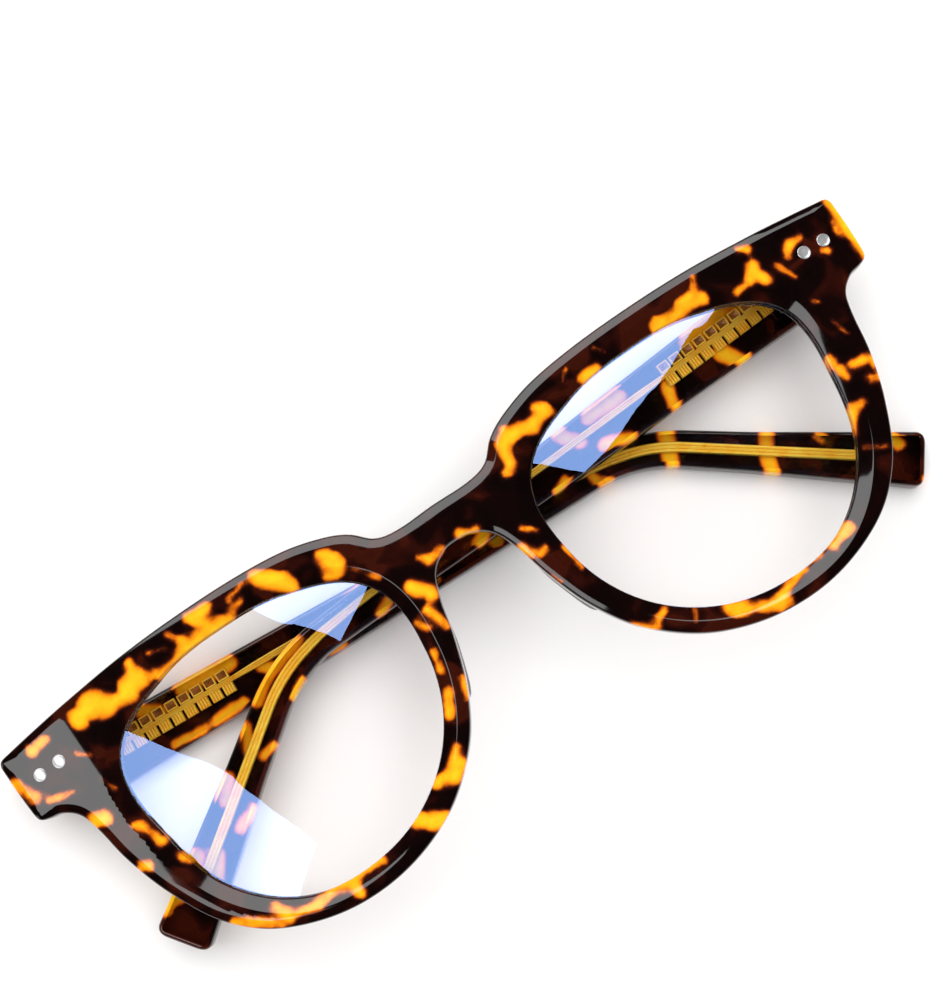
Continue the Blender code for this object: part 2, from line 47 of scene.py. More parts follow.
# The front, in millimetres in its own plane: x to the wearer's left, y to the brow.
LENS_CENTRE_X = 35.5
LENS_RADII = (22.85, 25.7, 21.9, 20.0, 21.5, 24.9, 23.0, 21.45, 20.4, 20.25, 21.4, 22.05)
FRONT_OUTLINE = (
    (0.0, 17.0), (5.8, 16.9), (9.4, 17.7), (12.2, 20.3), (15.7, 22.1), (21.7, 23.8),
    (30.0, 24.7), (40.0, 25.0), (50.0, 24.8), (60.0, 24.0), (67.0, 23.3), (71.2, 22.8),
    (72.9, 22.5), (73.4, 21.9), (73.5, 20.8), (73.4, 17.0), (73.1, 13.2), (72.6, 12.0), (71.3, 11.5),
    (69.3, 11.0), (67.2, 9.2), (66.1, 6.0), (64.9, 0.1), (62.4, -7.0), (58.1, -14.7),
    (51.6, -20.3), (42.0, -23.6), (32.0, -23.6), (22.5, -20.4), (15.0, -14.4),
    (10.6, -7.6), (8.0, -0.4), (6.6, 5.2), (4.9, 8.9), (2.3, 10.7), (0.0, 11.0))
CORNERS = ((72.9, 22.2), (72.5, 12.2))    # tight corners of an endpiece, with narrower bevels
CORNER_SHARE, CORNER_GROWTH = 0.4, 0.24    # a bevel's share at a corner, and its growth per millimetre
FRONT_THICKNESS = 4.4
WRAP_RADIUS = 450.0
ENDPIECE_X, ENDPIECE_SLOPE, CREASE_SOFTNESS = 61.5, 0.2, 0.6
HINGE_Y = 15.9                # the hinge axes, above the lens centres
FACE_ABOVE_AXIS = 11.8425      # the front's face at its middle, above the hinge axes
OUTER_PROFILE = (             # shift outwards and depth, from the face to the back
    (-1.4, 0.0), (-1.26, 0.02), (-1.12, 0.06), (-0.34, 0.26), (-0.2, 0.33), (-0.08, 0.48), (0.0, 0.8),
    (0.0, 2.4), (0.0, 3.8), (-0.05, 4.05), (-0.2, 4.25), (-0.5, 4.4))
OPENING_PROFILE = (
    (2.2, 0.0), (2.05, 0.03), (1.9, 0.1), (1.4, 0.38), (0.8, 0.73), (0.3, 1.02), (0.14, 1.12),
    (0.03, 1.25), (0.0, 1.4), (0.0, 1.6), (0.5, 2.4), (0.0, 3.2), (0.0, 3.9), (0.2, 4.25), (0.5, 4.4))
OUTLINE_PITCH, FACE_PITCH, BACK_PITCH = 0.45, 0.55, 1.1
LENS_GAP = 0.12
LENS_DOME = 2.1
LENS_DEPTHS = (1.4, 3.4)
LENS_RIDGE = 0.4              # how far the ridge of a lens's edge reaches into the groove
LENS_LAND = 0.35              # the plain edge on each side of the ridge
PAD_OUTLINE = (
    (8.4, 3.4), (10.2, 4.2), (11.4, 1.0), (12.3, -3.5), (13.3, -7.4),
    (12.2, -8.8), (10.9, -6.6), (9.6, -3.2), (8.6, 0.2))
PAD_SPINE = ((9.9, 2.0), (12.2, -6.6))       # the line that a pad narrows to
PAD_HEIGHT, PAD_LEAN, PAD_SINK = 4.72, 1.4, 0.1
RIVET_Y = 17.4
RIVET_PROFILE = (             # radius and height of a head, from its shank to its middle
    (1.0, -1.2), (1.0, 0.0), (0.98, 0.06), (0.92, 0.1), (0.86, 0.09), (0.8, 0.06),
    (0.4, 0.055), (0.05, 0.05))

# The temples, in millimetres along and across their side view.
TEMPLE_LENGTH = 142.2
TEMPLE_SLOPE = {"left": 2.35, "right": 3.6}
TEMPLE_HEIGHTS = ((0.0, 10.2), (94.0, 5.1), (116.0, 6.0), (TEMPLE_LENGTH, 8.4))
TEMPLE_THICKNESS = 4.0
AXIS_TO_TEMPLE = 1.9
BUTT_Y = -0.5
BUTT_DEPTH = 1.0              # the part of the butt that is cut square
BUTT_REACH, BUTT_SLANT = 1.45, 0.3    # beyond the hinge axis, less with depth to meet the endpiece
BUTT_DRAFT = 0.05             # how fast the rings behind the butt's bevel run back
BEND_AT, BEND_ANGLE, BEND_RADIUS = 99.3, math.radians(33.5), 24.0
TIP_RADIUS = 1.5
TEMPLE_BEVEL = 0.7
RING_PITCH = 0.6
CLEAR_DEPTH = 2.6             # the clear inner layer of the laminate
LAYER_GAP = 0.02
BLOCKS_START, BLOCK_COUNT, BLOCK_PITCH, BLOCK_LENGTH = 9.6, 9, 2.2, 1.8
FRAME_SPAN, COMB_SPAN, COMB_RIDGES = (1.42, 2.9), (-0.9, 0.62), 4     # the two rows of blocks
CORE_DEPTH, CORE_START, CORE_END = 1.5, 1.3, 135.0
CORE_RISE, CORE_TIP_RISE, CORE_FADE, CORE_FALL = 1.0, 0.4, 86, 0.06
BAR_HALF_WIDTH, WIRE_GROWTH, TIP_GROWTH = 0.36, 0.16, 0.28    # growth past the blocks and to the tip
WIRE_LEAD, WIRE_SWELL = 4.0, (80.0, 15.0)    # lengths of the growth, and where the second one starts
WIRE_SECTION = (              # across and into the temple: a wire between two beads
    (-1.0, 0.9), (-1.0, 0.3), (-0.86, 0.05), (-0.62, 0.0), (-0.42, 0.1), (-0.33, 0.34), (-0.22, 0.1),
    (0.0, 0.0), (0.22, 0.1), (0.33, 0.34), (0.42, 0.1), (0.62, 0.0), (0.86, 0.05), (1.0, 0.3), (1.0, 0.9))

# Amber streaks in the dark acetate of the front: two ends and a half width.
FRONT_AMBER = (
    (-59.5, 20.8, -56.0, 21.6, 1.5), (-57.0, 22.0, -55.2, 20.6, 1.3), (-56.5, 20.2, -51.0, 19.6, 1.0),
    (-51.2, 20.3, -49.0, 20.5, 1.2), (-49.3, 21.2, -48.8, 23.2, 0.6), (-48.6, 20.0, -46.4, 19.4, 0.5),
    (-46.2, 19.5, -41.0, 19.8, 0.4), (-40.6, 20.2, -33.4, 20.0, 0.7), (-38.2, 21.1, -36.8, 20.7, 0.5),
    (-37.8, 23.3, -35.0, 23.3, 0.9), (-37.0, 22.5, -36.6, 21.6, 0.4), (-41.9, 23.3, -40.4, 21.3, 0.25),
    (-34.0, 20.8, -30.4, 21.2, 0.25), (-26.3, 22.6, -24.3, 20.5, 1.3), (-24.0, 20.2, -23.3, 19.0, 0.9),
    (-17.3, 20.3, -15.8, 18.8, 0.8), (-17.0, 18.6, -16.0, 17.5, 0.8), (-18.2, 17.2, -17.0, 16.6, 0.4),
    (-68.0, 20.9, -65.6, 21.2, 0.7), (-72.8, 18.3, -72.6, 17.3, 0.8), (-72.0, 16.0, -71.2, 15.0, 0.8),
    (-70.0, 13.6, -66.0, 12.6, 0.3), (-62.5, 16.8, -60.8, 15.4, 0.3), (-65.8, 7.2, -63.9, 6.6, 1.1),
    (-63.8, -1.9, -62.6, -2.5, 0.7), (-60.3, 3.0, -59.1, -0.5, 0.4), (-61.8, 4.2, -60.4, 3.0, 0.2),
    (-57.9, -4.0, -57.3, -5.2, 0.4), (-56.6, -15.8, -51.0, -19.7, 0.45), (-50.3, -17.6, -49.4, -19.4, 0.7),
    (-49.2, -19.8, -44.0, -20.6, 0.4), (-44.6, -19.9, -40.0, -20.0, 0.4), (-40.6, -20.1, -35.6, -20.1, 0.75),
    (-39.4, -21.2, -39.0, -22.7, 0.75), (-34.6, -19.8, -33.9, -20.6, 0.5), (-26.6, -18.6, -24.6, -20.2, 1.1),
    (-25.0, -20.2, -23.4, -20.6, 0.8), (-21.4, -15.9, -18.2, -16.2, 0.7), (-19.0, -16.6, -17.2, -15.6, 0.9),
    (-18.0, -15.0, -16.5, -13.4, 0.6), (-14.7, -9.0, -13.1, -6.6, 0.7), (-12.2, -3.0, -11.7, -0.6, 0.5),
    (-11.0, -8.5, -10.2, -5.6, 0.35), (-9.0, 5.0, -7.8, 1.4, 0.5), (-9.1, 9.0, -7.2, 6.6, 0.9),
    (-11.3, 4.4, -10.3, 2.8, 0.4), (-4.6, 10.7, -2.8, 11.1, 0.5), (-5.9, 12.0, -5.0, 11.3, 0.25),
    (1.1, 11.1, 3.2, 10.6, 0.6), (12.3, 15.4, 13.0, 18.2, 0.8), (13.2, 18.4, 15.2, 18.8, 0.8),
    (15.0, 19.0, 18.0, 18.3, 0.6), (18.0, 18.4, 20.4, 18.9, 0.7), (20.0, 20.3, 21.2, 19.2, 0.7),
    (14.6, 20.2, 14.0, 19.2, 0.4), (11.4, 14.9, 12.4, 15.4, 0.5), (28.0, 19.9, 30.6, 20.1, 0.7),
    (40.8, 20.2, 45.2, 20.0, 0.5), (41.6, 21.2, 42.4, 20.5, 0.5), (46.2, 20.7, 47.6, 21.2, 0.6),
    (46.6, 20.4, 49.2, 19.9, 0.8), (48.6, 21.6, 49.7, 23.4, 0.4), (53.8, 17.9, 56.6, 18.2, 0.6),
    (56.6, 18.6, 58.0, 20.0, 0.5), (57.8, 19.0, 58.3, 17.3, 0.6), (57.4, 23.1, 58.7, 22.3, 0.3),
    (63.2, 18.4, 64.4, 19.6, 0.5), (64.2, 19.4, 66.2, 19.6, 0.4), (67.9, 16.1, 68.4, 15.8, 0.4),
    (71.4, 17.2, 71.7, 18.8, 0.2), (73.3, 22.2, 72.9, 12.6, 0.8), (60.8, 18.2, 62.2, 15.0, 0.1),
    (61.6, 0.0, 64.4, -0.9, 0.55), (64.4, -1.2, 63.9, -1.8, 0.4), (62.3, -3.1, 64.0, -3.8, 0.5),
    (59.2, 2.4, 59.6, -1.0, 0.45), (57.4, -5.5, 59.0, -5.4, 0.75), (55.6, -8.4, 57.4, -5.9, 0.35),
    (62.2, 10.7, 62.9, 10.2, 0.2), (55.8, -11.0, 58.6, -12.6, 0.1), (44.0, -20.0, 47.0, -18.9, 0.9),
    (38.0, -20.0, 41.4, -19.7, 0.4), (26.4, -18.9, 28.0, -19.5, 0.8), (27.0, -20.1, 30.6, -21.5, 0.6),
    (30.4, -21.6, 34.0, -22.0, 0.6), (32.4, -23.0, 34.0, -23.1, 0.5), (33.6, -21.4, 38.2, -20.2, 0.6),
    (13.6, -13.5, 15.8, -15.5, 0.6), (17.0, -14.9, 18.8, -13.9, 0.35), (12.5, -2.4, 12.0, 1.4, 0.25),
    (6.9, 4.6, 7.8, 3.0, 0.5), (8.6, 2.3, 9.8, 2.6, 0.4), (8.4, -1.0, 9.0, -2.6, 0.1),
    (24.4, -13.0, 21.4, -17.8, -0.1), (-14.2, 15.6, -12.0, 12.6, -0.1), (-31.6, 22.4, -29.0, 23.2, 0.1),
    (25.4, 21.2, 27.0, 22.6, -0.1), (32.0, 22.6, 33.0, 21.4, 0.0), (8.6, 7.0, 10.4, 5.6, 0.0),
    (-61.6, 12.0, -60.6, 9.6, -0.1), (-46.0, 22.8, -43.4, 22.0, -0.1), (62.6, 7.0, 63.4, 4.0, -0.2))
STREAK_MELT, STREAK_GROWTH = 0.4, 0.1        # how streaks run together, and how much they widen

# Amber bands of the temples: place along and across, twice, and a half width.
TEMPLE_AMBER = {
    "left": (
        (16.4, 3.6, 22.6, 3.3, 1.5), (10.0, 2.4, 15.0, 2.8, 0.6), (29.2, -0.4, 30.6, -4.0, 0.8),
        (18.2, -4.2, 19.6, -1.4, 1.3), (36.0, 2.6, 41.5, 2.9, 1.2), (38.5, -3.6, 42.0, -2.0, 1.0),
        (45.0, 0.8, 47.0, 3.4, 1.0), (50.0, -2.6, 52.0, -3.4, 0.7), (57.0, 1.2, 60.0, 0.6, 0.6),
        (64.0, -1.6, 66.0, -2.6, 1.0), (74.0, 2.0, 77.0, 1.4, 0.8), (82.0, -1.6, 84.0, -2.4, 0.8),
        (96.0, 2.2, 106.0, 2.4, 0.7), (100.0, -2.2, 103.0, -2.6, 0.7), (110.0, 2.6, 113.0, 0.8, 0.8),
        (111.0, -2.4, 113.0, -1.4, 0.7), (118.0, 2.6, 121.0, 1.8, 1.0), (121.0, -2.8, 124.0, -1.8, 1.0),
        (130.5, 3.0, 135.6, 3.2, 1.6), (129.0, 0.0, 134.6, -1.6, 1.3), (136.0, 3.7, 138.8, 4.0, 0.7)),
    "right": (
        (15.0, 3.8, 17.6, 2.0, 0.9), (22.0, 3.6, 30.0, 3.2, 1.1), (17.0, -3.2, 22.0, -3.6, 0.7),
        (24.0, -3.4, 29.0, -3.0, 0.8), (34.0, 0.6, 36.0, -1.6, 0.8), (41.0, -2.4, 46.0, -2.8, 0.9),
        (50.0, 2.2, 53.0, 2.6, 0.8), (60.0, -1.2, 63.0, -2.0, 0.7), (72.0, 1.6, 74.0, -1.6, 0.9),
        (91.0, 2.6, 92.0, -2.6, 0.5), (93.0, -2.2, 93.6, -2.6, 0.6), (103.6, 2.8, 104.4, -2.8, 1.1),
        (118.4, 3.0, 119.6, -3.0, 1.1), (126.0, 3.2, 127.0, 2.4, 0.4), (137.4, 3.2, 138.6, 2.4, 0.9),
        (142.6, -3.0, 143.4, -2.6, 0.7))}

joints = {joint["name"]: joint for joint in frame["joints"]}
AXES = {hand: Vector(joints[f"{hand}_temple_hinge"]["pos_m"]) for hand in SIDES}
span = AXES["left"] - AXES["right"]
middle = (AXES["left"] + AXES["right"]) / 2
FRONT_PLACE = (Matrix.Translation(middle) @ Matrix.Rotation(-math.atan2(span.z, span.x), 4, "Y")
               @ Matrix.Scale(MM, 4) @ Matrix.Translation((0.0, -HINGE_Y, FACE_ABOVE_AXIS)))
TEMPLE_PLACE = {hand: Matrix.Translation(AXES[hand]) @ Matrix.Scale(MM, 4) for hand in SIDES}


# Curves ------------------------------------------------------------------------

def between(a, b, c, d, t):
    """A point of the Catmull-Rom curve from b to c."""
    return tuple(
        0.5 * (2 * q + (r - p) * t + (2 * p - 5 * q + 4 * r - s) * t * t
               + (3 * q - p - 3 * r + s) * t ** 3)
        for p, q, r, s in zip(a, b, c, d))


def resample(loop, pitch):
    """The closed loop again, with points at equal distances."""
    lengths = [math.dist(a, b) for a, b in zip(loop, loop[1:] + loop[:1])]
    count = round(sum(lengths) / pitch)
    step = sum(lengths) / count
    made, travelled, i = [], 0.0, 0
    for k in range(count):
        while travelled + lengths[i] < k * step - 1e-9:
            travelled += lengths[i]
            i += 1
        share = (k * step - travelled) / lengths[i]
        a, b = loop[i], loop[(i + 1) % len(loop)]
        made.append((a[0] + (b[0] - a[0]) * share, a[1] + (b[1] - a[1]) * share))
    return made


def smooth_loop(points, pitch):
    """A smooth closed curve through the points."""
    fine = []
    count = len(points)
    for i in range(count):
        corners = [points[(i + k) % count] for k in (-1, 0, 1, 2)]
        fine += [between(*corners, k / 24) for k in range(24)]
    return resample(fine, pitch)


def offset(loop, distance):
    """Move an anticlockwise loop outwards by a distance."""
    made = []
    for i, here in enumerate(loop):
        before, after = loop[i - 1], loop[(i + 1) % len(loop)]
        dx, dy = after[0] - before[0], after[1] - before[1]
        length = math.hypot(dx, dy)
        made.append((here[0] + dy / length * distance, here[1] - dx / length * distance))
    return made


def bevelled(loop, shift):
    """The loop moved by a step of its bevel, and by less at the endpieces' tight corners."""
    made = []
    for (x, y), (far_x, far_y) in zip(loop, offset(loop, shift)):
        near = min(math.dist((abs(x), y), corner) for corner in CORNERS)
        share = min(1.0, CORNER_SHARE + CORNER_GROWTH * near)
        made.append((x + share * (far_x - x), y + share * (far_y - y)))
    return made


def polar_loop(count=300):
    """A lens opening around its own centre, anticlockwise."""
    made = []
    for k in range(count):
        at = k * len(LENS_RADII) / count
        i = int(at)
        ring = [(LENS_RADII[(i + j) % len(LENS_RADII)],) for j in (-1, 0, 1, 2)]
        radius = between(*ring, at - i)[0]
        angle = 2 * math.pi * k / count
        made.append((radius * math.cos(angle), radius * math.sin(angle)))
    return made


def opening(side):
    loop = [(side * (LENS_CENTRE_X + x), y) for x, y in polar_loop()]
    return loop if side > 0 else loop[::-1]


def wrap(x):
    """How far the front's surface lies behind its middle."""
    beyond = abs(x) - ENDPIECE_X
    straight = (beyond + math.hypot(beyond, CREASE_SOFTNESS)) / 2
    curved = abs(x) - straight
    return curved ** 2 / (2 * WRAP_RADIUS) + straight * ENDPIECE_SLOPE


def streak_distance(x, y, streaks):
    """How far a place is inside the amber streaks, in millimetres, or outside them as a negative."""
    total = 0.0
    for ax, ay, bx, by, half_width in streaks:
        dx, dy = bx - ax, by - ay
        share = ((x - ax) * dx + (y - ay) * dy) / (dx * dx + dy * dy)
        share = min(1.0, max(0.0, share))
        depth = half_width - math.hypot(x - ax - share * dx, y - ay - share * dy)
        total += math.exp(depth / STREAK_MELT)
    return STREAK_MELT * math.log(total + 1e-9) + STREAK_GROWTH


# Meshes -------------------------------------------------------------------------

def piece(name, mesh, place, body, looks, sharp=35.0):
    """Turn a bmesh in millimetres into a piece that rides on a body."""
    bmesh.ops.transform(mesh, matrix=place, verts=mesh.verts)
    bmesh.ops.recalc_face_normals(mesh, faces=mesh.faces)
    data = bpy.data.meshes.new(name)
    mesh.to_mesh(data)
    mesh.free()
    for look in looks:
        data.materials.append(look)
    data.shade_smooth()
    data.set_sharp_from_angle(angle=math.radians(sharp))
    made = bpy.data.objects.new(name, data)
    bpy.context.scene.collection.objects.link(made)
    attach(made, body)
    return made


def ring_of(mesh, points):
    return [mesh.verts.new(point) for point in points]


def bridge(mesh, first, second):
    """Join two closed rings by a band of faces."""
    count = len(first)
    for i in range(count):
        j = (i + 1) % count
        mesh.faces.new((first[i], first[j], second[j], second[i]))


def lofted(rings, mesh=None):
    """A closed surface through the rings, with a flat face at each end."""
    mesh = mesh or bmesh.new()
    made = [ring_of(mesh, ring) for ring in rings]
    for first, second in zip(made, made[1:]):
        bridge(mesh, first, second)
    for ring in (made[0], made[-1]):
        mesh.faces.new(ring)
    return mesh


def inside(loop, x, y):
    """Whether a place lies inside a closed loop."""
    crossed = False
    for (ax, ay), (bx, by) in zip(loop, loop[1:] + loop[:1]):
        if (ay > y) != (by > y) and x < ax + (y - ay) * (bx - ax) / (by - ay):
            crossed = not crossed
    return crossed


def fill_face(mesh, rings, depth, pitch):
    """Fill the front's face with a net fine enough to hold its curve and its pattern."""
    verts = [vert for ring in rings for vert in ring]
    edges, start = [], 0
    for ring in rings:
        edges += [(start + i, start + (i + 1) % len(ring)) for i in range(len(ring))]
        start += len(ring)
    flat = [vert.co.xy for vert in verts]
    loops = [[(vert.co.x, vert.co.y) for vert in ring] for ring in rings]
    outer = offset(loops[0], -0.5 * pitch)
    holes = [offset(loop, 0.5 * pitch) for loop in loops[1:]]
    extent = max(x for x, _ in outer)
    for row in range(int(60 / pitch)):
        y = -28 + row * pitch * 0.87
        for column in range(int(2 * extent / pitch) + 1):
            x = -extent + (column + 0.5 * (row % 2)) * pitch
            if inside(outer, x, y) and not any(inside(hole, x, y) for hole in holes):
                flat.append(Vector((x, y)))
                verts.append(mesh.verts.new((x, y, -wrap(x) - depth)))
    for triangle in geometry.delaunay_2d_cdt(flat, edges, [], 0, 1e-7)[2]:
        corners = [verts[i] for i in triangle]
        x, y, _ = sum((vert.co for vert in corners), Vector()) / 3
        if [inside(loop, x, y) for loop in loops] == [True] + [False] * (len(loops) - 1):
            mesh.faces.new(corners)


def pattern(made, place, streaks, flatten):
    """Store on each vertex how far inside an amber streak it lies."""
    back = place.inverted()
    values = []
    for vert in made.data.vertices:
        x, y = flatten(back @ vert.co)
        values.append(streak_distance(x, y, streaks))
    layer = made.data.attributes.new("amber", "FLOAT", "POINT")
    layer.data.foreach_set("value", values)


# Materials ------------------------------------------------------------------------

def new_material(name):
    made = bpy.data.materials.new(name)
    made.use_nodes = True
    tree = made.node_tree
    return made, tree, tree.nodes["Principled BSDF"]


def add(tree, kind, inputs=(), **settings):
    """A node, with its settings and with links or values for its inputs."""
    node = tree.nodes.new(kind)
    for name, value in settings.items():
        setattr(node, name, value)
    for name, value in dict(inputs).items():
        if isinstance(value, bpy.types.NodeSocket):
            tree.links.new(value, node.inputs[name])
        else:
            node.inputs[name].default_value = value
    return node


def maths(tree, operation, a, b=None, c=None):
    inputs = {i: value for i, value in enumerate((a, b, c)) if value is not None}
    return add(tree, "ShaderNodeMath", inputs, operation=operation).outputs[0]


def noise_of(tree, where, scale, detail=2.0, roughness=0.5, distortion=0.0):
    return add(tree, "ShaderNodeTexNoise", {
        "Vector": where, "Scale": scale, "Detail": detail, "Roughness": roughness,
        "Distortion": distortion}).outputs["Fac"]


def ramp(tree, factor, stops):
    node = add(tree, "ShaderNodeValToRGB", {"Fac": factor})
    band = node.color_ramp
    while len(band.elements) < len(stops):
        band.elements.new(0.5)
    for element, (position, colour) in zip(band.elements, stops):
        element.position = position
        element.color = (*colour, 1.0)
    return node.outputs["Color"]


def place_of(tree):
    return add(tree, "ShaderNodeTexCoord").outputs["Object"]


def bumped(tree, height, strength, distance):
    return add(tree, "ShaderNodeBump", {
        "Height": height, "Strength": strength, "Distance": distance}).outputs["Normal"]


def tortoise(name, edge=1.0, painted_light_gain=1.0, glow=0.0):
    """Dark acetate with amber streaks: their edges wander and run through orange to red-brown."""
    made, tree, shader = new_material(name)
    where = place_of(tree)
    amber = add(tree, "ShaderNodeAttribute", attribute_name="amber").outputs["Fac"]
    broad = maths(tree, "SUBTRACT", noise_of(tree, where, 300.0, 1.0, 0.5, 0.5), 0.5)
    fine = maths(tree, "SUBTRACT", noise_of(tree, where, 1300.0, 3.0, 0.6), 0.5)
    field = maths(tree, "MULTIPLY_ADD", broad, 1.5 * edge, amber)
    field = maths(tree, "MULTIPLY_ADD", fine, 0.3 * edge, field)
    depth = maths(tree, "MULTIPLY_ADD", field, 0.5, 0.5)
    mottle = noise_of(tree, where, 130.0, 2.0, 0.5, 0.5)
    mottle = maths(tree, "MULTIPLY_ADD", mottle, 1.6, -0.6)
    depth = maths(tree, "MAXIMUM", depth, maths(tree, "MINIMUM", mottle, 0.35))
    stops = (
        (0.0, (0.0035, 0.0015, 0.0015)), (0.22, (0.006, 0.0018, 0.0016)), (0.34, (0.026, 0.004, 0.0025)),
        (0.42, (0.10, 0.016, 0.003)), (0.48, (0.32, 0.058, 0.004)), (0.54, (0.62, 0.135, 0.005)),
        (0.62, (0.87, 0.25, 0.006)), (0.74, (0.97, 0.40, 0.008)), (1.0, (1.0, 0.52, 0.014)))
    # painted_light_gain scales the ramp's colours up: painted light for a copy of the acetate that lies in
    # shade.
    colour = ramp(tree, depth, [
        (at, tuple(min(1.0, painted_light_gain * part) for part in tone)) for at, tone in stops])
    cloud = noise_of(tree, where, 420.0, 3.0, 0.6)
    cloud = maths(tree, "MULTIPLY_ADD", cloud, 0.6, 0.68)
    tinted = add(tree, "ShaderNodeVectorMath", {0: colour, "Scale": cloud}, operation="SCALE").outputs[0]
    tree.links.new(tinted, shader.inputs["Base Color"])
    wear = noise_of(tree, where, 4200.0, 2.0, 0.7)
    smear = noise_of(tree, where, 90.0, 3.0, 0.6)
    rough = maths(tree, "MULTIPLY_ADD", smear, 0.05, 0.02)
    rough = maths(tree, "MULTIPLY_ADD", wear, 0.02, rough)
    tree.links.new(rough, shader.inputs["Roughness"])
    swell = noise_of(tree, where, 95.0, 1.0, 0.4)
    height = maths(tree, "MULTIPLY_ADD", wear, 0.002, swell)
    tree.links.new(bumped(tree, height, 0.2, 0.0003), shader.inputs["Normal"])
    shader.inputs["IOR"].default_value = 1.5
    if glow:
        shader.inputs["Subsurface Weight"].default_value = glow
        shader.inputs["Subsurface Radius"].default_value = (1.0, 0.45, 0.1)
        shader.inputs["Subsurface Scale"].default_value = 0.001
    return made


def see_through(name, tint, mirror, facing, grazing, rough):
    """A clear layer: what is behind it, tinted, and a mirror that grows towards grazing angles."""
    made, tree, shader = new_material(name)
    tree.nodes.remove(shader)
    where = place_of(tree)
    smear = noise_of(tree, where, 70.0, 3.0, 0.6)
    normal = bumped(tree, smear, 0.12, 0.0002)
    clear = add(tree, "ShaderNodeBsdfTransparent", {"Color": (*tint, 1.0)})
    gloss = add(tree, "ShaderNodeBsdfAnisotropic", {
        "Color": (*mirror, 1.0),
        "Roughness": maths(tree, "MULTIPLY_ADD", smear, rough, 0.0),
        "Normal": normal})
    grade = add(tree, "ShaderNodeFresnel", {"IOR": 1.5, "Normal": normal}).outputs[0]
    share = maths(tree, "MULTIPLY_ADD", grade, grazing, facing)
    front = maths(tree, "SUBTRACT", 1.0, add(tree, "ShaderNodeNewGeometry").outputs["Backfacing"])
    share = maths(tree, "MULTIPLY", share, front)
    share = maths(tree, "MINIMUM", share, 1.0)
    mixed = add(tree, "ShaderNodeMixShader", {0: share, 1: clear.outputs[0], 2: gloss.outputs[0]})
    output = next(node for node in tree.nodes if node.type == "OUTPUT_MATERIAL")
    tree.links.new(mixed.outputs[0], output.inputs["Surface"])
    return made


def metal(name, dark, light, low, high, grain, metallic=1.0):
    """Brushed or cast metal, with tone and roughness that vary over it."""
    made, tree, shader = new_material(name)
    where = place_of(tree)
    stretched = add(tree, "ShaderNodeVectorMath", {0: where, 1: grain}, operation="MULTIPLY").outputs[0]
    scratches = noise_of(tree, stretched, 1000.0, 3.0, 0.6)
    stain = noise_of(tree, where, 420.0, 3.0, 0.5)
    tone = maths(tree, "MULTIPLY_ADD", scratches, 0.5, maths(tree, "MULTIPLY", stain, 0.5))
    tree.links.new(ramp(tree, tone, ((0.3, dark), (0.7, light))), shader.inputs["Base Color"])
    rough = maths(tree, "MULTIPLY_ADD", tone, high - low, low)
    tree.links.new(rough, shader.inputs["Roughness"])
    tree.links.new(bumped(tree, scratches, 0.2, 0.00005), shader.inputs["Normal"])
    shader.inputs["Metallic"].default_value = metallic
    return made


ACETATE = tortoise("tortoise_acetate", glow=0.06)
# The temples' laminate is the same acetate painted a tenth brighter: painted light that makes up for the
# shade under the front.
LAMINATE_WITH_PAINTED_LIGHT = tortoise("tortoise_laminate_with_painted_light", edge=0.7, painted_light_gain=1.1)
LENS = see_through("lens_resin", (1.0, 0.995, 0.99), (0.85, 1.4, 2.9), 0.05, 0.4, 0.0)
CLEAR = see_through("clear_acetate", (0.985, 0.95, 0.89), (1.0, 1.0, 1.0), 0.0, 1.0, 0.05)
STEEL = metal("polished_steel", (0.62, 0.62, 0.63), (0.88, 0.88, 0.89), 0.2, 0.4, (1.0, 0.15, 1.0), 0.75)
GOLD = metal("gold_metal", (0.95, 0.5, 0.02), (1.0, 0.82, 0.12), 0.2, 0.4, (0.2, 1.0, 1.0), 0.15)
# Darker gold for the sunk pyramids of the core's blocks: painted shade of their hollow faces.
GOLD_PAINTED_SHADE = metal("gold_painted_shade", (0.14, 0.045, 0.006), (0.5, 0.2, 0.035), 0.25, 0.5, (1.0, 1.0, 1.0), 0.15)


# The front --------------------------------------------------------------------------

def on_front(loop, depth):
    return [(x, y, -wrap(x) - depth) for x, y in loop]


def make_front():
    mesh = bmesh.new()
    other = [(-x, y) for x, y in FRONT_OUTLINE[-2:0:-1]]
    outline = smooth_loop(list(FRONT_OUTLINE) + other, OUTLINE_PITCH)[::-1]
    walls = [(outline, OUTER_PROFILE), (opening(1), OPENING_PROFILE), (opening(-1), OPENING_PROFILE)]
    faces, backs = [], []
    for loop, profile in walls:
        rings = [ring_of(mesh, on_front(bevelled(loop, shift), depth)) for shift, depth in profile]
        for first, second in zip(rings, rings[1:]):
            bridge(mesh, first, second)
        faces.append(rings[0])
        backs.append(rings[-1])
    fill_face(mesh, faces, 0.0, FACE_PITCH)
    fill_face(mesh, backs, FRONT_THICKNESS, BACK_PITCH)
    made = piece("front_acetate", mesh, FRONT_PLACE, "front", [ACETATE])
    pattern(made, FRONT_PLACE, FRONT_AMBER, lambda point: (point.x, point.y))
    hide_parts("front")


def make_lens(hand, side):
    edge = offset(polar_loop(240), -LENS_GAP)

    def ring(scale, depth, grow=0.0):
        placed = [(side * (LENS_CENTRE_X + scale * x), scale * y) for x, y in offset(edge, grow)]
        dome = LENS_DOME * (1 - scale ** 2)
        return [(x, y, -wrap(x) - depth + dome) for x, y in placed]

    scales = [0.02, 0.06] + [k / 16 for k in range(2, 17)]
    front, back = LENS_DEPTHS
    rings = [ring(scale, front) for scale in scales]
    rings.append(ring(1.0, front + LENS_LAND))
    rings.append(ring(1.0, (front + back) / 2, LENS_RIDGE))
    rings.append(ring(1.0, back - LENS_LAND))
    rings += [ring(scale, back) for scale in scales[::-1]]
    made = piece(f"lens_resin_{hand}", lofted(rings), FRONT_PLACE, "front", [LENS], 50)
    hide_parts(f"lens_{hand}")


